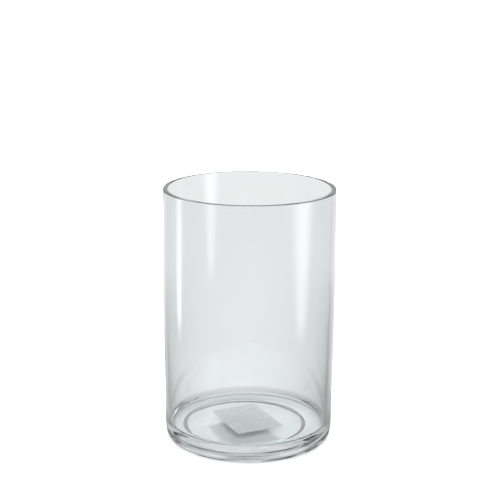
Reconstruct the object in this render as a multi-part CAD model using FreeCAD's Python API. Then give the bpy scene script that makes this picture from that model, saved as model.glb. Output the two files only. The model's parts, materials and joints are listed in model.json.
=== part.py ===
import FreeCAD, Part
import math
import os

# A straight-sided glass cylinder vase, 10 cm across and 15 cm tall, in millimetres.
# The base plane (the table) is z = 0, +Z is up, and the Z axis is the axis of the glass.
# The glass is one blown piece: wall, thick floor and flat, polished rim have no seam.
# A blank self-adhesive paper label sits under the floor, inside a shallow recess,
# so it never touches the table.

# ---- glass: outside -------------------------------------------------------------
outer_diameter = 100.0
height = 150.0
heel_height = 9.0           # height over which the wall curves in to the heel
heel_sweep = 18.0           # radius of the long curve below the straight wall
heel_edge_round = 1.5       # tighter curve that turns the heel onto the table
rim_edge_round = 0.5        # the rim is cut flat, and both its edges are melted soft

# ---- glass: inside --------------------------------------------------------------
wall_thickness = 3.0
floor_height = 9.0          # top face of the glass floor above the table
floor_fillet = 3.0          # inside corner between wall and floor

# ---- glass: underside -----------------------------------------------------------
bearing_inner_radius = 36.0  # inner edge of the flat ring the vase stands on
bearing_edge_round = 1.0     # soft edge where the ring turns up into the recess
recess_depth = 3.0           # flat ceiling of the recess above the table

# ---- label ----------------------------------------------------------------------
label_length = 40.0
label_width = 30.0
label_corner_radius = 1.0
label_angle = -64.0          # direction of the long edge, degrees from +X
label_centre_x = -1.0        # stuck on by hand, a little off the middle of the floor
label_centre_y = 4.0
paper_thickness = 0.10
adhesive_thickness = 0.03
adhesive_margin = 0.2        # the glue stops just short of the paper's cut edge

outer_radius = outer_diameter / 2.0
inner_radius = outer_radius - wall_thickness


def point(radius, z):
    """A point of the half section, which lies in the XZ plane."""
    return FreeCAD.Vector(radius, 0.0, z)


def line(start, end):
    return Part.LineSegment(start, end).toShape()


def arc(centre, radius, from_deg, to_deg):
    """A circular arc of the half section; angles run from +X towards +Z."""
    middle_deg = (from_deg + to_deg) / 2.0
    ends = []
    for angle in (from_deg, middle_deg, to_deg):
        turn = math.radians(angle)
        ends.append(centre + point(radius * math.cos(turn), radius * math.sin(turn)))
    return Part.Arc(ends[0], ends[1], ends[2]).toShape()


def heel_curves():
    """The long curve and the tight one that join the bearing ring to the outer wall.
    They touch where both have the same slope, and each is tangent to its neighbour."""
    sweep_centre = point(outer_radius - heel_sweep, heel_height)
    rise = heel_height - heel_edge_round
    reach = math.sqrt((heel_sweep - heel_edge_round) ** 2 - rise ** 2)
    edge_centre = point(sweep_centre.x + reach, heel_edge_round)
    slope_deg = -math.degrees(math.atan2(rise, reach))
    tight = arc(edge_centre, heel_edge_round, -90.0, slope_deg)
    long = arc(sweep_centre, heel_sweep, slope_deg, 0.0)
    return edge_centre.x, [tight, long]


def glass_section():
    """Half section of the glass, walked from the axis under the floor, round the
    outside, over the rim and back down the inside to the axis."""
    recess_corner = recess_depth - bearing_edge_round
    recess_radius = bearing_inner_radius - recess_corner
    ring_start = bearing_inner_radius + bearing_edge_round
    rim_base = height - rim_edge_round
    rim_outer = outer_radius - rim_edge_round
    rim_inner = inner_radius + rim_edge_round
    fillet_radius = inner_radius - floor_fillet
    fillet_height = floor_height + floor_fillet
    ring_end, heel_edges = heel_curves()

    edges = [
        line(point(0.0, recess_depth), point(recess_radius, recess_depth)),
        arc(point(recess_radius, bearing_edge_round), recess_corner, 90.0, 0.0),
        arc(point(ring_start, bearing_edge_round), bearing_edge_round, 180.0, 270.0),
        line(point(ring_start, 0.0), point(ring_end, 0.0)),
        *heel_edges,
        line(point(outer_radius, heel_height), point(outer_radius, rim_base)),
        arc(point(rim_outer, rim_base), rim_edge_round, 0.0, 90.0),
        line(point(rim_outer, height), point(rim_inner, height)),
        arc(point(rim_inner, rim_base), rim_edge_round, 90.0, 180.0),
        line(point(inner_radius, rim_base), point(inner_radius, fillet_height)),
        arc(point(fillet_radius, fillet_height), floor_fillet, 0.0, -90.0),
        line(point(fillet_radius, floor_height), point(0.0, floor_height)),
        line(point(0.0, floor_height), point(0.0, recess_depth)),
    ]
    return Part.Face(Part.Wire(edges))


def make_glass_body():
    return glass_section().revolve(FreeCAD.Vector(0, 0, 0), FreeCAD.Vector(0, 0, 1), 360)


def rounded_sheet(length, width, corner, thickness, top_z):
    """A flat rectangular sheet with round corners, its top face at top_z."""
    block = Part.makeBox(length, width, thickness,
                         FreeCAD.Vector(-length / 2.0, -width / 2.0, top_z - thickness))
    uprights = []
    for edge in block.Edges:
        low, high = edge.Vertexes[0].Point, edge.Vertexes[-1].Point
        if abs(high.z - low.z) > thickness / 2.0:
            uprights.append(edge)
    sheet = block.makeFillet(corner, uprights).Solids[0]
    sheet.rotate(FreeCAD.Vector(0, 0, 0), FreeCAD.Vector(0, 0, 1), label_angle)
    sheet.translate(FreeCAD.Vector(label_centre_x, label_centre_y, 0))
    return sheet


def make_label_adhesive():
    return rounded_sheet(label_length - 2.0 * adhesive_margin,
                         label_width - 2.0 * adhesive_margin,
                         label_corner_radius, adhesive_thickness, recess_depth)


def make_label_paper():
    return rounded_sheet(label_length, label_width, label_corner_radius,
                         paper_thickness, recess_depth - adhesive_thickness)


parts = {
    "glass_body": make_glass_body(),
    "label_adhesive": make_label_adhesive(),
    "label_paper": make_label_paper(),
}

os.makedirs("parts", exist_ok=True)
for name, shape in parts.items():
    shape.exportStep(os.path.join("parts", name + ".step"))
    box = shape.optimalBoundingBox()
    print(name, "valid", shape.isValid(), shape.ShapeType, "volume %.2f mm3" % shape.Volume,
          "x %.2f..%.2f y %.2f..%.2f z %.2f..%.2f"
          % (box.XMin, box.XMax, box.YMin, box.YMax, box.ZMin, box.ZMax))
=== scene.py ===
import json
import math

import bpy
from mathutils import Matrix, Vector


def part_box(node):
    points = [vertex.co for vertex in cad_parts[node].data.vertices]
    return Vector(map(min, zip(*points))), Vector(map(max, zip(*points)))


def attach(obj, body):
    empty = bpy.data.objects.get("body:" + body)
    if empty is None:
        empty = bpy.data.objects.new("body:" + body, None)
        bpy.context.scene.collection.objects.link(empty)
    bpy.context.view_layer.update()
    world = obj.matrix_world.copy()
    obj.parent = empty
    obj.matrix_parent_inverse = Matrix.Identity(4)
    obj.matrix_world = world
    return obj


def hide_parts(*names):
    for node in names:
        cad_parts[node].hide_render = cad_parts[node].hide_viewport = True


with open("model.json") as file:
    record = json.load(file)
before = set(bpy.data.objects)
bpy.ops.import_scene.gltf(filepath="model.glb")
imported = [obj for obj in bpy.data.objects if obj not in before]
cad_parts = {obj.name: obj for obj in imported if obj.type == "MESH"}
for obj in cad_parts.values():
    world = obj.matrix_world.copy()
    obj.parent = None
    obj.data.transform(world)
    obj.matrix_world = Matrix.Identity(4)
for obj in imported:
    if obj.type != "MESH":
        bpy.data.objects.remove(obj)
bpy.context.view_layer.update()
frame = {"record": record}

# The looks of a blown glass cylinder vase with a blank paper label under its floor.
# Metres, +Z up, the vase standing on z = 0 with its axis on the Z axis.
# Three pieces stand for the three CAD nodes: the glass, the label's glue and its paper.
# The glass is lathed from the CAD sizes, then given the unevenness of a blown vessel.

MM = 0.001


# ---- sizes taken from the frame -------------------------------------------------------------
def mount(name):
    """The record's mount of that name."""
    return next(m for m in frame["record"]["mounts"] if m["name"] == name)


glass_low, glass_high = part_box("glass_body")
paper_low, paper_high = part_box("label_paper")
OUTER_RADIUS = (glass_high.x - glass_low.x) / 2
HEIGHT = glass_high.z
INNER_RADIUS = mount("mouth")["dims"]["r_mm"] * MM
RIM_ROUND = 0.5 * MM            # the rim is cut flat, and both its edges are melted soft
RIM_BASE = HEIGHT - RIM_ROUND
FILLET_TOP = RIM_BASE - mount("mouth")["dims"]["length_mm"] * MM
HEEL_TOP = RIM_BASE - mount("outer_wall")["dims"]["length_mm"] * MM
RECESS_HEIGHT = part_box("label_adhesive")[1].z
PAPER_TOP = paper_high.z

# ---- shape of the glass that the frame doesn't say ------------------------------------------
FLOOR_FILLET = 3.0 * MM
FLOOR_HEIGHT = FILLET_TOP - FLOOR_FILLET
HEEL_SWEEP = 18.0 * MM          # radius of the long curve below the straight wall
HEEL_EDGE_ROUND = 1.5 * MM      # tighter curve that turns the heel onto the table
BEARING_INNER_RADIUS = 36.0 * MM
BEARING_EDGE_ROUND = 1.0 * MM

# ---- unevenness of blown glass --------------------------------------------------------------
WALL_UNEVEN = 0.22 * MM         # the bore sits this far off the axis of the outside
WALL_UNEVEN_TOWARDS = 185.0     # direction of the thin side, degrees from +X
FLOOR_DISH = 0.30 * MM          # the floor is this much lower at its middle
RECESS_SHIFT = -2.4 * MM        # the recess under the floor is pressed a little off centre
BEARING_CROWN = 0.10 * MM       # the ring it stands on is lifted towards both its edges,
BEARING_LOW_LINE = 0.4          # and is lowest this share of the way from recess to outside
DRIFT_HEEL = -0.50 * MM         # the wall's pull-in above the heel, and the heights it fades over
DRIFT_HEEL_SPAN = (16 * MM, 62 * MM)
DRIFT_BELLY = 0.25 * MM         # the swelling of the wall, and where it begins and ends
DRIFT_BELLY_RISE = (55 * MM, 85 * MM)
DRIFT_BELLY_FALL = (105 * MM, 140 * MM)
FLOOR_WAVES_FULL = 0.8          # share of the bore's radius by which the floor's waves are full
RIPPLES_FADE = 0.8              # share of the recess's radius from which its ripples fade

# Slow waves round and up the glass: (height, waves round, phase, turn per metre of height).
OUTER_WAVES = [
    (0.030 * MM, 2, 0.4, 12.0),
    (0.016 * MM, 3, 2.1, -25.0),
    (0.008 * MM, 5, 1.0, 60.0),
    (0.004 * MM, 7, 4.0, -140.0),
]
INNER_WAVES = [
    (0.060 * MM, 2, 2.6, -18.0),
    (0.040 * MM, 3, 0.9, 34.0),
    (0.020 * MM, 5, 5.1, -70.0),
    (0.010 * MM, 8, 3.3, 120.0),
    (0.006 * MM, 11, 1.7, -210.0),
    (0.005 * MM, 1, 0.3, 520.0),
]
FLOOR_WAVES = [
    (0.050 * MM, 2, 1.2, 0.0),
    (0.030 * MM, 3, 4.4, 0.0),
]
RIM_WAVES = [
    (0.050 * MM, 2, 0.9, 0.0),
    (0.030 * MM, 3, 2.2, 0.0),
]
# Ripples of the recess ceiling: (height, turn per metre of x, turn per metre of y, phase).
RECESS_RIPPLES = [
    (0.040 * MM, 95.0, 40.0, 0.7),
    (0.030 * MM, -50.0, 130.0, 0.0),
]

# ---- fineness of the glass mesh -------------------------------------------------------------
TURNS = 288                     # columns round the axis
RECESS_STEPS = 26               # rows along each stretch of the half section
RECESS_EDGE_STEPS = 14
BEARING_EDGE_STEPS = 9
BEARING_STEPS = 16
HEEL_EDGE_STEPS = 8
HEEL_SWEEP_STEPS = 14
WALL_STEPS = 44
RIM_EDGE_STEPS = 9
RIM_STEPS = 6
FILLET_STEPS = 18
FLOOR_STEPS = 24


def smooth(value, low, high):
    """0 below low, 1 above high, and a smooth step between."""
    t = min(1.0, max(0.0, (value - low) / (high - low)))
    return t * t * (3 - 2 * t)


def waves(angle, z, terms):
    """Sum of slow waves at a direction and a height."""
    return sum(a * math.cos(n * angle + phase + twist * z) for a, n, phase, twist in terms)


def recess_ripple(x, y):
    """How far the recess ceiling lies off flat at a point: it is pressed by a tool."""
    return sum(a * math.cos(kx * x + ky * y + phase) for a, kx, ky, phase in RECESS_RIPPLES)


def wall_drift(z):
    """How far the wall stands off the true cylinder at a height: it pulls in above the heel
    and swells a little above the middle."""
    pull = DRIFT_HEEL * (1.0 - smooth(z, *DRIFT_HEEL_SPAN))
    belly = smooth(z, *DRIFT_BELLY_RISE) * (1.0 - smooth(z, *DRIFT_BELLY_FALL))
    return pull + DRIFT_BELLY * belly


# ---- profile of the glass -------------------------------------------------------------------
def arc(centre_r, centre_z, radius, from_deg, to_deg, steps):
    """Points on a circular arc of the half section, both ends included."""
    points = []
    for i in range(steps + 1):
        turn = math.radians(from_deg + (to_deg - from_deg) * i / steps)
        points.append((centre_r + radius * math.cos(turn), centre_z + radius * math.sin(turn)))
    return points


def eased(i, steps):
    """The share of the way reached at step i, with shorter steps near both ends."""
    return 0.5 - 0.5 * math.cos(math.pi * i / steps)


def straight(start, end, steps):
    """Points between two ends of the half section, both left out, closer together near the
    ends so that the surface turns crisply into its neighbours."""
    points = []
    for i in range(1, steps):
        t = eased(i, steps)
        points.append((start[0] + (end[0] - start[0]) * t, start[1] + (end[1] - start[1]) * t))
    return points


def glass_profile():
    """Half section as (r, z, side) from the axis under the floor, round the outside,
    over the rim and back to the axis. side is 'under', 'outer', 'rim' or 'inner'."""
    recess_corner = RECESS_HEIGHT - BEARING_EDGE_ROUND
    recess_flat = BEARING_INNER_RADIUS - recess_corner
    ring_start = BEARING_INNER_RADIUS + BEARING_EDGE_ROUND
    rise = HEEL_TOP - HEEL_EDGE_ROUND
    reach = math.sqrt((HEEL_SWEEP - HEEL_EDGE_ROUND) ** 2 - rise ** 2)
    sweep_r = OUTER_RADIUS - HEEL_SWEEP
    ring_end = sweep_r + reach
    slope = -math.degrees(math.atan2(rise, reach))
    rim_outer = OUTER_RADIUS - RIM_ROUND
    rim_inner = INNER_RADIUS + RIM_ROUND
    fillet_r = INNER_RADIUS - FLOOR_FILLET

    under = [(0.0, RECESS_HEIGHT)]
    under += straight((0.0, RECESS_HEIGHT), (recess_flat, RECESS_HEIGHT), RECESS_STEPS)
    under += arc(recess_flat, BEARING_EDGE_ROUND, recess_corner, 90, 0, RECESS_EDGE_STEPS)
    under += arc(ring_start, BEARING_EDGE_ROUND, BEARING_EDGE_ROUND, 180, 270,
                 BEARING_EDGE_STEPS)[1:]
    under += straight((ring_start, 0.0), (ring_end, 0.0), BEARING_STEPS)
    outer = arc(ring_end, HEEL_EDGE_ROUND, HEEL_EDGE_ROUND, -90, slope, HEEL_EDGE_STEPS)
    outer += arc(sweep_r, HEEL_TOP, HEEL_SWEEP, slope, 0, HEEL_SWEEP_STEPS)[1:]
    outer += straight((OUTER_RADIUS, HEEL_TOP), (OUTER_RADIUS, RIM_BASE), WALL_STEPS)
    rim = arc(rim_outer, RIM_BASE, RIM_ROUND, 0, 90, RIM_EDGE_STEPS)
    rim += straight((rim_outer, HEIGHT), (rim_inner, HEIGHT), RIM_STEPS)
    rim += arc(rim_inner, RIM_BASE, RIM_ROUND, 90, 180, RIM_EDGE_STEPS)
    inner = straight((INNER_RADIUS, RIM_BASE), (INNER_RADIUS, FILLET_TOP), WALL_STEPS)
    inner += arc(fillet_r, FILLET_TOP, FLOOR_FILLET, 0, -90, FILLET_STEPS)
    inner += straight((fillet_r, FLOOR_HEIGHT), (0.0, FLOOR_HEIGHT), FLOOR_STEPS)
    inner += [(0.0, FLOOR_HEIGHT)]

    profile = []
    for side, points in (("under", under), ("outer", outer), ("rim", rim), ("inner", inner)):
        profile += [(r, z, side) for r, z in points]
    return profile


def move_outer(point, out, angle, z, weight):
    """Moves a point of the outside as the outer wall's waves and drift move it."""
    point += out * (weight * (waves(angle, z, OUTER_WAVES) + wall_drift(z)))


def move_inner(point, out, angle, r, z, weight):
    """Moves a point of the bore with its waves and drift, and off the outside's axis."""
    thin = math.radians(WALL_UNEVEN_TOWARDS)
    shift = Vector((math.cos(thin), math.sin(thin), 0)) * WALL_UNEVEN
    on_wall = smooth(r, INNER_RADIUS - 2 * FLOOR_FILLET, INNER_RADIUS)
    point += out * (weight * on_wall * (waves(angle, z, INNER_WAVES) + wall_drift(z)))
    point += shift * (weight * smooth(r, 0.0, INNER_RADIUS))


def dish_floor(point, angle, r, z):
    """Lowers the middle of the floor and gives it its waves."""
    on_floor = 1.0 - smooth(r, INNER_RADIUS - 2 * FLOOR_FILLET, INNER_RADIUS)
    middle = 1.0 - (r / INNER_RADIUS) ** 2
    off_axis = smooth(r, 0.0, INNER_RADIUS * FLOOR_WAVES_FULL)
    point.z -= FLOOR_DISH * middle * on_floor
    point.z += on_floor * off_axis * waves(angle, z, FLOOR_WAVES)


def press_underside(point, r):
    """Shifts and ripples the recess, and crowns the ring round it."""
    pressed = 1.0 - smooth(r, BEARING_INNER_RADIUS + BEARING_EDGE_ROUND, OUTER_RADIUS)
    point.x += RECESS_SHIFT * pressed * smooth(r, 0.0, BEARING_INNER_RADIUS)
    ceiling = 1.0 - smooth(r, BEARING_INNER_RADIUS * RIPPLES_FADE, BEARING_INNER_RADIUS)
    point.z += recess_ripple(point.x, point.y) * ceiling
    across = (r - BEARING_INNER_RADIUS) / (OUTER_RADIUS - BEARING_INNER_RADIUS)
    if 0.0 < across < 1.0:
        point.z += BEARING_CROWN * 2 * abs(across - BEARING_LOW_LINE)


def glass_point(r, z, side, angle):
    """A point of the lathed profile, moved as the uneven glass moves it."""
    out = Vector((math.cos(angle), math.sin(angle), 0))
    point = out * r + Vector((0, 0, z))
    if side == "under":
        press_underside(point, r)
    elif side == "outer":
        move_outer(point, out, angle, z, smooth(z, 0.0, HEEL_TOP))
    elif side == "rim":
        inwards = smooth(OUTER_RADIUS - r, 0.0, OUTER_RADIUS - INNER_RADIUS)
        move_outer(point, out, angle, z, 1.0 - inwards)
        move_inner(point, out, angle, r, z, inwards)
        point.z += math.sin(math.pi * inwards) * waves(angle, z, RIM_WAVES)
    else:
        move_inner(point, out, angle, r, z, 1.0)
        dish_floor(point, angle, r, z)
    return point


# ---- meshes ---------------------------------------------------------------------------------
def full_turn(steps):
    """Evenly spaced angles once round the axis."""
    return [2 * math.pi * i / steps for i in range(steps)]


def lathe_ring(r, z, steps):
    return [Vector((r * math.cos(angle), r * math.sin(angle), z)) for angle in full_turn(steps)]


def ring_mesh(name, rings):
    """A mesh skinned over rings of points; a ring of one point is a pole."""
    vertices, index = [], []
    for ring in rings:
        index.append(range(len(vertices), len(vertices) + len(ring)))
        vertices += [tuple(p) for p in ring]
    faces = []
    for low, high in zip(index, index[1:]):
        count = max(len(low), len(high))
        for i in range(count):
            j = (i + 1) % count
            if len(low) == 1:
                faces.append((low[0], high[j], high[i]))
            elif len(high) == 1:
                faces.append((low[i], low[j], high[0]))
            else:
                faces.append((low[i], low[j], high[j], high[i]))
    mesh = new_mesh(name, vertices, faces)
    mesh.polygons.foreach_set("use_smooth", [True] * len(mesh.polygons))
    return mesh


def new_mesh(name, vertices, faces):
    mesh = bpy.data.meshes.new(name)
    mesh.from_pydata(vertices, [], faces)
    mesh.update()
    return mesh


def add_object(name, data):
    piece = bpy.data.objects.new(name, data)
    bpy.context.scene.collection.objects.link(piece)
    return piece


def build_glass():
    rings = []
    for r, z, side in glass_profile():
        angles = [0.0] if r == 0.0 else full_turn(TURNS)
        rings.append([glass_point(r, z, side, angle) for angle in angles])
    return add_object("vase_glass", ring_mesh("vase_glass", rings))


# ---- label ----------------------------------------------------------------------------------
LABEL_LENGTH = 40.0 * MM
LABEL_WIDTH = 30.0 * MM
LABEL_CORNER = 1.0 * MM
LABEL_CENTRE = (paper_low + paper_high) / 2
LABEL_ANGLE = math.radians(-64.0)
GLUE_MARGIN = 0.2 * MM
GLUE_THICKNESS = RECESS_HEIGHT - PAPER_TOP
PAPER_THICKNESS = PAPER_TOP - paper_low.z
AIR_GAP = 0.004 * MM            # keeps neighbouring faces from coinciding
LABEL_ROWS = 60
LABEL_COLUMNS = 44
LABEL_REACH = 0.9995            # the end rows lie just short of the ends, inside the corners


def half_width_at(along, length, width):
    """Half width of a sheet with round corners at a distance along its middle line."""
    past = abs(along) - (length / 2 - LABEL_CORNER)
    if past <= 0:
        return width / 2
    return width / 2 - LABEL_CORNER + math.sqrt(max(0.0, LABEL_CORNER ** 2 - past ** 2))


def sheet_points(length, width, top):
    """Rows of points across a sheet that follows the recess ceiling."""
    turn = Matrix.Rotation(LABEL_ANGLE, 3, "Z")
    points = []
    for i in range(LABEL_ROWS + 1):
        along = (eased(i, LABEL_ROWS) - 0.5) * length * LABEL_REACH
        half = half_width_at(along, length, width)
        for j in range(LABEL_COLUMNS + 1):
            across = (2 * j / LABEL_COLUMNS - 1) * half
            point = turn @ Vector((along, across, 0)) + LABEL_CENTRE
            points.append((point.x, point.y, top + recess_ripple(point.x, point.y)))
    return points


def label_sheet(name, length, width, top, thickness):
    """A thin closed sheet, its top face at height top where the ceiling is flat."""
    vertices = sheet_points(length, width, top) + sheet_points(length, width, top - thickness)
    row = LABEL_COLUMNS + 1
    last = LABEL_ROWS * row
    layer = last + row
    faces = []
    for start in range(0, last, row):
        for a in range(start, start + LABEL_COLUMNS):
            faces.append((a, a + row, a + row + 1, a + 1))
            faces.append((layer + a, layer + a + 1, layer + a + row + 1, layer + a + row))
    border = list(range(row))
    border += range(row + LABEL_COLUMNS, layer, row)
    border += range(last + LABEL_COLUMNS - 1, last - 1, -1)
    border += range(last - row, 0, -row)
    for a, b in zip(border, border[1:] + border[:1]):
        faces.append((a, b, layer + b, layer + a))
    return add_object(name, new_mesh(name, vertices, faces))


def build_label():
    glue = label_sheet("label_glue", LABEL_LENGTH - 2 * GLUE_MARGIN, LABEL_WIDTH - 2 * GLUE_MARGIN,
                       RECESS_HEIGHT - AIR_GAP, GLUE_THICKNESS - 2 * AIR_GAP)
    paper = label_sheet("label_face", LABEL_LENGTH, LABEL_WIDTH, PAPER_TOP, PAPER_THICKNESS)
    return glue, paper


# ---- materials ------------------------------------------------------------------------------
class Nodes:
    """Short calls for building a material's node tree."""

    def __init__(self, name):
        self.material = bpy.data.materials.new(name)
        self.material.use_nodes = True
        self.tree = self.material.node_tree
        self.tree.nodes.clear()
        self.output = self.add("ShaderNodeOutputMaterial")

    def add(self, kind, **inputs):
        node = self.tree.nodes.new(kind)
        for key, value in inputs.items():
            self.set(node, key.replace("_", " "), value)
        return node

    def set(self, node, key, value):
        """Sets an input by name or number; a socket is linked, anything else is a value."""
        socket = node.inputs[key]
        if isinstance(value, bpy.types.NodeSocket):
            self.tree.links.new(value, socket)
        else:
            socket.default_value = value

    def place(self):
        """The object's own coordinates, which are metres."""
        return self.add("ShaderNodeTexCoord").outputs["Object"]

    def noise(self, scale, detail, stretch=(1.0, 1.0, 1.0)):
        mapping = self.add("ShaderNodeMapping", Vector=self.place(), Scale=stretch)
        noise = self.add("ShaderNodeTexNoise", Vector=mapping.outputs[0], Scale=scale, Detail=detail)
        return noise.outputs["Fac"]

    def maths(self, operation, first, second=0.0):
        node = self.add("ShaderNodeMath")
        node.operation = operation
        self.set(node, 0, first)
        self.set(node, 1, second)
        return node.outputs[0]

    def axes(self, vector):
        """The X, Y and Z sockets of a vector socket."""
        return self.add("ShaderNodeSeparateXYZ", Vector=vector).outputs

    def distance(self, x, y):
        squares = self.maths("ADD", self.maths("MULTIPLY", x, x), self.maths("MULTIPLY", y, y))
        return self.maths("SQRT", squares)

    def spread(self, value, low, high, to_low, to_high, eased_step=False):
        """Maps a range of a value onto another range, evenly or by a smooth step."""
        node = self.add("ShaderNodeMapRange")
        node.interpolation_type = "SMOOTHSTEP" if eased_step else "LINEAR"
        for key, number in enumerate((value, low, high, to_low, to_high)):
            self.set(node, key, number)
        return node.outputs[0]

    def blend_colour(self, factor, first, second):
        node = self.add("ShaderNodeMix")
        node.data_type = "RGBA"
        self.set(node, 0, factor)
        self.set(node, 6, first)
        self.set(node, 7, second)
        return node.outputs[2]

    def show(self, factor, first, second):
        """Makes the surface a mix of two shaders."""
        mix = self.add("ShaderNodeMixShader")
        self.set(mix, 0, factor)
        self.set(mix, 1, first.outputs[0])
        self.set(mix, 2, second.outputs[0])
        self.set(self.output, "Surface", mix.outputs[0])


# A noise is given by its scale and detail, and a range by where a noise begins and ends to act.
WHITE = (1, 1, 1, 1)

GLASS_TINT_NOISE = (25.0, 2.0)
GLASS_TINTS = ((0.982, 1.0, 1.0, 1), (0.972, 0.994, 0.996, 1))
GLASS_DEPTH_COLOUR = (0.0, 0.12, 0.14, 1)   # the lower, the more light is lost along the depth
GLASS_DEPTH_DENSITY = 2.0
GLASS_TO_LAMPS = (0.955, 0.959, 0.960, 1)   # what one surface of the glass lets through to a lamp
GLASS_HAZE_NOISE = (60.0, 4.0)
GLASS_HAZE_RANGE = (0.5, 0.8)
GLASS_HAZE = 0.02                           # roughness of its haziest spots
GLASS_IOR = 1.5

PAPER_CLOUD_NOISE = (70.0, 3.0)
PAPER_GREYS = ((0.80, 0.81, 0.815, 1), (0.85, 0.86, 0.865, 1))
PAPER_FIBRE_NOISE = (900.0, 6.0)
PAPER_FIBRE_STRETCH = (1.0, 2.4, 1.0)
PAPER_FIBRE_RANGE = (0.35, 0.7)
PAPER_FIBRE_GREY = (0.90, 0.91, 0.91, 1)
PAPER_FIBRE_SHARE = 0.35                    # how far the fibres' grey covers the paper's
PAPER_GRAIN = 0.03 * MM                     # height of the fibres, and how much of it shows
PAPER_GRAIN_STRENGTH = 0.25
PAPER_ROUGH_RANGE = (0.3, 0.7)
PAPER_ROUGHNESS = (0.72, 0.9)
PAPER_OPEN = 0.25                           # share of the paper's surface that lets light through
PAPER_THROUGH = (0.93, 0.93, 0.93, 1)

GLUE_NOISE = (260.0, 3.0)
GLUE_COLOUR_RANGE = (0.4, 0.62)
GLUE_GREYS = ((0.76, 0.77, 0.775, 1), (0.82, 0.83, 0.83, 1))
GLUE_CLEAR = (0.97, 0.97, 0.965, 1)
GLUE_RANGE = (0.35, 0.65)
GLUE_ROUGHNESS = (0.18, 0.4)
GLUE_MILK = (0.10, 0.22)                    # how milky the glue is at its clear and cloudy spots
GLUE_IOR = 1.47


def glass_material():
    """Soda-lime glass: clear, with the faint grey-green of thick glass seen along its depth."""
    n = Nodes("clear_glass")
    haze = n.spread(n.noise(*GLASS_HAZE_NOISE), *GLASS_HAZE_RANGE, 0.0, GLASS_HAZE)
    tint = n.blend_colour(n.noise(*GLASS_TINT_NOISE), *GLASS_TINTS)
    glass = n.add("ShaderNodeBsdfPrincipled", Base_Color=tint, Roughness=haze, IOR=GLASS_IOR,
                  Transmission_Weight=1.0)
    lamps = n.add("ShaderNodeBsdfTransparent", Color=GLASS_TO_LAMPS)
    n.show(n.add("ShaderNodeLightPath").outputs["Is Shadow Ray"], glass, lamps)
    depth = n.add("ShaderNodeVolumeAbsorption", Color=GLASS_DEPTH_COLOUR,
                  Density=GLASS_DEPTH_DENSITY)
    n.set(n.output, "Volume", depth.outputs[0])
    return n.material


def paper_material():
    """Uncoated label paper: grey, with fibres and a slight cloudiness, and thin enough for
    some light to come through."""
    n = Nodes("label_paper")
    fibres = n.noise(*PAPER_FIBRE_NOISE, stretch=PAPER_FIBRE_STRETCH)
    base = n.blend_colour(n.noise(*PAPER_CLOUD_NOISE), *PAPER_GREYS)
    colour = n.blend_colour(n.spread(fibres, *PAPER_FIBRE_RANGE, 0.0, PAPER_FIBRE_SHARE),
                            base, PAPER_FIBRE_GREY)
    bump = n.add("ShaderNodeBump", Height=fibres, Strength=PAPER_GRAIN_STRENGTH,
                 Distance=PAPER_GRAIN)
    rough = n.spread(fibres, *PAPER_ROUGH_RANGE, *PAPER_ROUGHNESS)
    paper = n.add("ShaderNodeBsdfPrincipled", Base_Color=colour, Roughness=rough,
                  Normal=bump.outputs[0])
    n.show(PAPER_OPEN, paper, n.add("ShaderNodeBsdfTranslucent", Color=PAPER_THROUGH))
    return n.material


def glue_material():
    """Clear acrylic glue over the paper: slightly milky, with small pressed-in blotches."""
    n = Nodes("label_glue")
    blotches = n.noise(*GLUE_NOISE)
    colour = n.blend_colour(n.spread(blotches, *GLUE_COLOUR_RANGE, 0.0, 1.0), *GLUE_GREYS)
    rough = n.spread(blotches, *GLUE_RANGE, *GLUE_ROUGHNESS)
    milk = n.add("ShaderNodeBsdfPrincipled", Base_Color=colour, Roughness=rough, IOR=GLUE_IOR)
    clear = n.add("ShaderNodeBsdfTransparent", Color=GLUE_CLEAR)
    n.show(n.spread(blotches, *GLUE_RANGE, *GLUE_MILK), clear, milk)
    return n.material


# ---- studio: what it is made of -------------------------------------------------------------
# Distances are from the vase's axis. Bearings are angles round the vase from the camera's
# side, in degrees, positive to the right of the picture.
TENT_LIGHT = 1.04

TABLE_RADIUS = 1.6              # the flat table, and the curve and wall that it rises into
SWEEP_CURVE = 0.5
SWEEP_HEIGHT = 1.8
TABLE_RINGS = 20
SWEEP_RINGS = 16
STUDIO_TURNS = 96               # columns round the table and the dome
TABLE_NOISE = (3.0, 3.0)
TABLE_WHITES = ((0.86, 0.86, 0.86, 1), (0.88, 0.88, 0.88, 1))
TABLE_ROUGHNESS = 0.12
CAMERA_LIFT = 0.22              # glow added to the table where the camera sees it directly
HEEL_PAINTED_SHADE = (0.60, 0.60, 0.60, 1)          # painted shade: a darker ring painted on the table under the heel,
HEEL_PAINTED_SHADE_FROM = (0.0435, 0.0455)          # the distances over which it darkens
HEEL_PAINTED_SHADE_TO = (0.0485, 0.0500)            # and those over which it lightens again

TOP_BOX = (0.1, 0.35, 1.3)      # each lamp's place, its width and height, and its power
TOP_BOX_SIZE = (1.4, 1.4)
TOP_BOX_POWER = 6.0
BACK_BOX = (0.10, 1.0, 0.18)    # low and small, it throws the label's crisp shadow forwards
BACK_BOX_SIZE = (0.14, 0.05)
BACK_BOX_POWER = 29.0

# The surroundings are a glowing dome seen only by the glass; the levels below are its painted light
# and shade.
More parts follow.
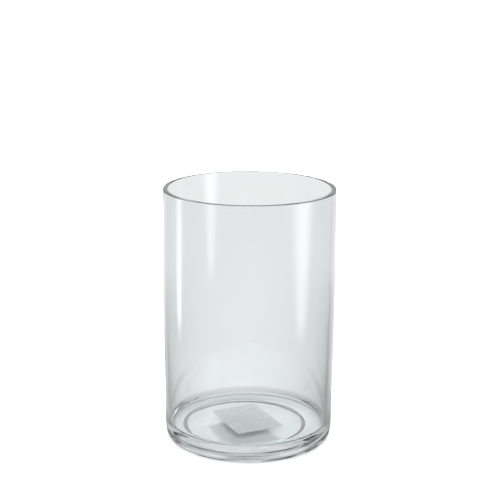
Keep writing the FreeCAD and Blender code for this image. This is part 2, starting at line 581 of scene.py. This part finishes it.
SURROUND_FROM = 0.0485          # the real table shows through the floor, inside this distance
SURROUND_RADIUS = 1.4
SURROUND_LIFT = 0.3 * MM
SURROUND_RINGS = 22
DOME_TOP = 88                   # how far up its rings go, in degrees; a pole closes it
SIDE_START = (-0.006, -0.08)    # where the light from behind spreads from
SIDE_REACH = (0.10, 0.40)       # distances over which the next two change
SIDE_NARROWING = (5.3, 1.5)     # how fast the light from behind falls off sideways
FRONT_LEVEL = (0.13, 0.15)      # brightness of the table in front and at the sides
BEHIND_REACH = (0.10, 0.70)     # distances over which the table behind changes
BEHIND_LEVEL = (0.94, 0.91)
PAINTED_CONTACT_SHADE_REACH = (0.055, 0.075)  # distances over which painted shade of the vase darkens the table beside it
PAINTED_CONTACT_SHADE_LEVEL = 0.8             # brightness the painted shade leaves right beside the vase
ROOM_EDGE = 0.25                # slope, height over distance, by which the table has become room
ROOM_RISE = (0.38, 0.60)        # slopes over which the room darkens upwards
ROOM_LEVEL = (0.78, 0.10)

CARD_FOOT = 1.0 * MM
CARD_HEIGHT = 170.0 * MM
CARD_FADES = ((0.0, 40 * MM), (CARD_HEIGHT, 130 * MM))   # heights where a card is clear and full
CARD_CORE = 0.10                # share of a card's half width that glows fully
LOUVRES = (-0.15, -0.05)        # Y of the directions in which a louvred card glows and is dark
RIGHT_CARD = (0.22, 65.0, (10.0, 36.0), (1.6, 3.0))   # distance, bearing, half widths, strengths
LEFT_CARD = (0.19, -95.0, (4.5, 18.0), (4.0, 0.4))


def table_material():
    """White table with painted shade in a ring under the heel. Seen straight on it is lifted
    to the paper white that glass is photographed against; seen through the glass it keeps
    its own tone."""
    n = Nodes("white_table")
    open_tone = n.blend_colour(n.noise(*TABLE_NOISE), *TABLE_WHITES)
    x, y, _ = n.axes(n.place())
    far = n.distance(x, y)
    # painted shade: mask of the darker ring painted on the table under the heel
    painted_heel_shade = n.maths("MULTIPLY", n.spread(far, *HEEL_PAINTED_SHADE_FROM, 0.0, 1.0, eased_step=True),
                         n.spread(far, *HEEL_PAINTED_SHADE_TO, 1.0, 0.0, eased_step=True))
    tone = n.blend_colour(painted_heel_shade, open_tone, HEEL_PAINTED_SHADE)
    is_camera = n.add("ShaderNodeLightPath").outputs["Is Camera Ray"]
    table = n.add("ShaderNodeBsdfPrincipled", Base_Color=tone, Roughness=TABLE_ROUGHNESS,
                  Emission_Color=WHITE, Emission_Strength=n.maths("MULTIPLY", is_camera, CAMERA_LIFT))
    n.set(n.output, "Surface", table.outputs[0])
    return n.material


def glow_material(name, bearing, half_widths, strengths, louvred):
    """A glowing card, bright along the line at one bearing from the vase and soft at both
    sides. The half widths, in degrees, and the strengths are those at its foot and its top.
    A louvred card glows only towards what lies on its camera side."""
    n = Nodes(name)
    x, y, z = n.axes(n.place())
    here = n.maths("DEGREES", n.maths("ARCTAN2", x, n.maths("MULTIPLY", y, -1.0)))
    aside = n.maths("ABSOLUTE", n.maths("SUBTRACT", here, bearing))
    half = n.spread(z, 0.0, CARD_HEIGHT, *half_widths)
    kept = n.spread(n.maths("DIVIDE", aside, half), CARD_CORE, 1.0, 1.0, 0.0, eased_step=True)
    for z_clear, z_full in CARD_FADES:
        fade = n.spread(z, z_clear, z_full, 0.0, 1.0, eased_step=True)
        kept = n.maths("MULTIPLY", kept, fade)
    if louvred:
        turn = n.add("ShaderNodeVectorTransform",
                     Vector=n.add("ShaderNodeNewGeometry").outputs["Incoming"])
        turn.vector_type, turn.convert_from, turn.convert_to = "VECTOR", "WORLD", "OBJECT"
        open_side = n.spread(n.axes(turn.outputs[0])["Y"], *LOUVRES, 1.0, 0.0, eased_step=True)
        kept = n.maths("MULTIPLY", kept, open_side)
    level = n.spread(z, 0.0, CARD_HEIGHT, *strengths)
    glow = n.add("ShaderNodeEmission", Color=WHITE, Strength=n.maths("MULTIPLY", level, kept))
    n.show(kept, n.add("ShaderNodeBsdfTransparent"), glow)
    return n.material


def painted_surroundings_material():
    """A glowing dome that lights nothing and that only the glass sees. It is painted with the light
    and shade of what the glass sees round itself: a white table that is bright behind the vase
    and darkens to the sides and to the front, the more so close to the vase, and a dim room.
    Light on its way from the table or the label passes, so that the tent still lights them."""
    n = Nodes("surroundings")
    x, y, z = n.axes(n.place())
    far = n.distance(x, y)
    aside = n.maths("SUBTRACT", x, SIDE_START[0])
    ahead = n.maths("SUBTRACT", y, SIDE_START[1])
    facing = n.maths("MAXIMUM", n.maths("DIVIDE", ahead, n.distance(aside, ahead)), 0.0)
    is_behind = n.maths("POWER", facing, n.spread(far, *SIDE_REACH, *SIDE_NARROWING))
    behind = n.spread(far, *BEHIND_REACH, *BEHIND_LEVEL)
    front = n.spread(far, *SIDE_REACH, *FRONT_LEVEL)
    # painted shade: the glowing table is darkened right beside the vase
    painted_contact_shade = n.spread(far, *PAINTED_CONTACT_SHADE_REACH, PAINTED_CONTACT_SHADE_LEVEL, 1.0, eased_step=True)
    table = n.maths("MULTIPLY", n.spread(is_behind, 0.0, 1.0, front, behind), painted_contact_shade)
    rise = n.maths("DIVIDE", z, far)
    is_room = n.spread(rise, 0.0, ROOM_EDGE, 0.0, 1.0, eased_step=True)
    room = n.spread(rise, *ROOM_RISE, *ROOM_LEVEL, eased_step=True)
    level = n.spread(is_room, 0.0, 1.0, table, room)
    glow = n.add("ShaderNodeEmission", Color=WHITE, Strength=level)
    bounced = n.maths("MINIMUM", n.add("ShaderNodeLightPath").outputs["Diffuse Depth"], 1.0)
    n.show(bounced, glow, n.add("ShaderNodeBsdfTransparent"))
    return n.material


# ---- studio: its pieces ---------------------------------------------------------------------
SENSOR_WIDTH = 36.0             # millimetres, as Blender takes them
LENS = 93.2
CLIP_START = 0.02
CAMERA_PLACE = (0.0003, -0.7282, 0.3039)
CAMERA_DOWN = math.radians(14.71)
CAMERA_ROLL = math.radians(0.38)


def build_camera():
    camera = add_object("camera", bpy.data.cameras.new("camera"))
    camera.data.sensor_width = SENSOR_WIDTH
    camera.data.lens = LENS
    camera.data.clip_start = CLIP_START
    aim = Matrix.Rotation(math.pi / 2 - CAMERA_DOWN, 4, "X")
    roll = Matrix.Rotation(CAMERA_ROLL, 4, "Z")
    camera.matrix_world = Matrix.Translation(CAMERA_PLACE) @ aim @ roll
    bpy.context.scene.camera = camera
    return camera


def turntable(camera):
    """An empty that turns with the camera, so the light always comes from the same side
    of the picture, as when an object is turned on a table in front of a fixed camera."""
    rig = add_object("light_rig", None)
    follow = rig.constraints.new("COPY_ROTATION")
    follow.target = camera
    follow.use_x = False
    follow.use_y = False
    return rig


def build_tent():
    """White light from all round."""
    world = bpy.data.worlds.new("light_tent")
    bpy.context.scene.world = world
    world.use_nodes = True
    background = world.node_tree.nodes["Background"]
    background.inputs["Color"].default_value = WHITE
    background.inputs["Strength"].default_value = TENT_LIGHT


def build_table():
    """Round table that curves up all round into a backdrop."""
    profile = [(TABLE_RADIUS * i / TABLE_RINGS, 0.0) for i in range(1, TABLE_RINGS + 1)]
    profile += arc(TABLE_RADIUS, SWEEP_CURVE, SWEEP_CURVE, -90, 0, SWEEP_RINGS)[1:]
    profile += [(TABLE_RADIUS + SWEEP_CURVE, SWEEP_HEIGHT)]
    rings = [[Vector((0, 0, 0))]]
    rings += [lathe_ring(r, z, STUDIO_TURNS) for r, z in profile]
    table = add_object("table", ring_mesh("table", rings))
    table.data.materials.append(table_material())


def soft_box(rig, name, place, size, power):
    """A lamp aimed at the vase's foot."""
    light = bpy.data.lights.new(name, "AREA")
    light.shape = "RECTANGLE"
    light.size, light.size_y = size
    light.energy = power
    lamp = add_object(name, light)
    lamp.location = place
    lamp.rotation_euler = (-Vector(place)).to_track_quat("-Z", "Y").to_euler()
    lamp.visible_camera = False
    lamp.parent = rig
    return lamp


def seen_by_glass_only(rig, card, material):
    """Puts a card on the rig that nothing but the glass sees, reflected or through itself."""
    card.data.materials.append(material)
    card.visible_camera = False
    card.visible_diffuse = False
    card.visible_shadow = False
    card.parent = rig


def standing_card(rig, name, distance, bearing, half_widths, strengths, louvred=False):
    """An upright card beside the vase."""
    corners = []
    for side, height in ((-1, CARD_FOOT), (1, CARD_FOOT), (1, CARD_HEIGHT), (-1, CARD_HEIGHT)):
        turn = math.radians(bearing + side * max(half_widths))
        corners.append((distance * math.sin(turn), -distance * math.cos(turn), height))
    seen_by_glass_only(rig, add_object(name, new_mesh(name, corners, [(0, 1, 2, 3)])),
                       glow_material(name, bearing, half_widths, strengths, louvred))


def build_surroundings(rig):
    """A disc just above the table that rises into a dome."""
    profile = [(SURROUND_FROM, SURROUND_LIFT)]
    profile += arc(0.0, SURROUND_LIFT, SURROUND_RADIUS, 0, DOME_TOP, SURROUND_RINGS)
    rings = [lathe_ring(r, z, STUDIO_TURNS) for r, z in profile]
    rings.append([Vector((0, 0, SURROUND_RADIUS))])
    seen_by_glass_only(rig, add_object("surroundings", ring_mesh("surroundings", rings)),
                       painted_surroundings_material())


def build_studio():
    rig = turntable(build_camera())
    build_table()
    build_tent()
    soft_box(rig, "top_box", TOP_BOX, TOP_BOX_SIZE, TOP_BOX_POWER)
    back_box = soft_box(rig, "back_box", BACK_BOX, BACK_BOX_SIZE, BACK_BOX_POWER)
    back_box.visible_glossy = False
    back_box.visible_transmission = False
    standing_card(rig, "right_card", *RIGHT_CARD)
    standing_card(rig, "left_card", *LEFT_CARD, louvred=True)
    build_surroundings(rig)


# ---- put together ---------------------------------------------------------------------------
def finish_piece(piece, node, material):
    piece.data.materials.append(material)
    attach(piece, "root")
    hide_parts(node)


glue, paper = build_label()
finish_piece(build_glass(), "glass_body", glass_material())
finish_piece(glue, "label_adhesive", glue_material())
finish_piece(paper, "label_paper", paper_material())
build_studio()

# Light crosses many glass surfaces on its way, so it is given bounces enough to come through.
scene = bpy.context.scene
scene.cycles.max_bounces = 64
scene.cycles.transmission_bounces = 64
scene.cycles.glossy_bounces = 32
scene.cycles.transparent_max_bounces = 16
scene.view_settings.view_transform = "Standard"
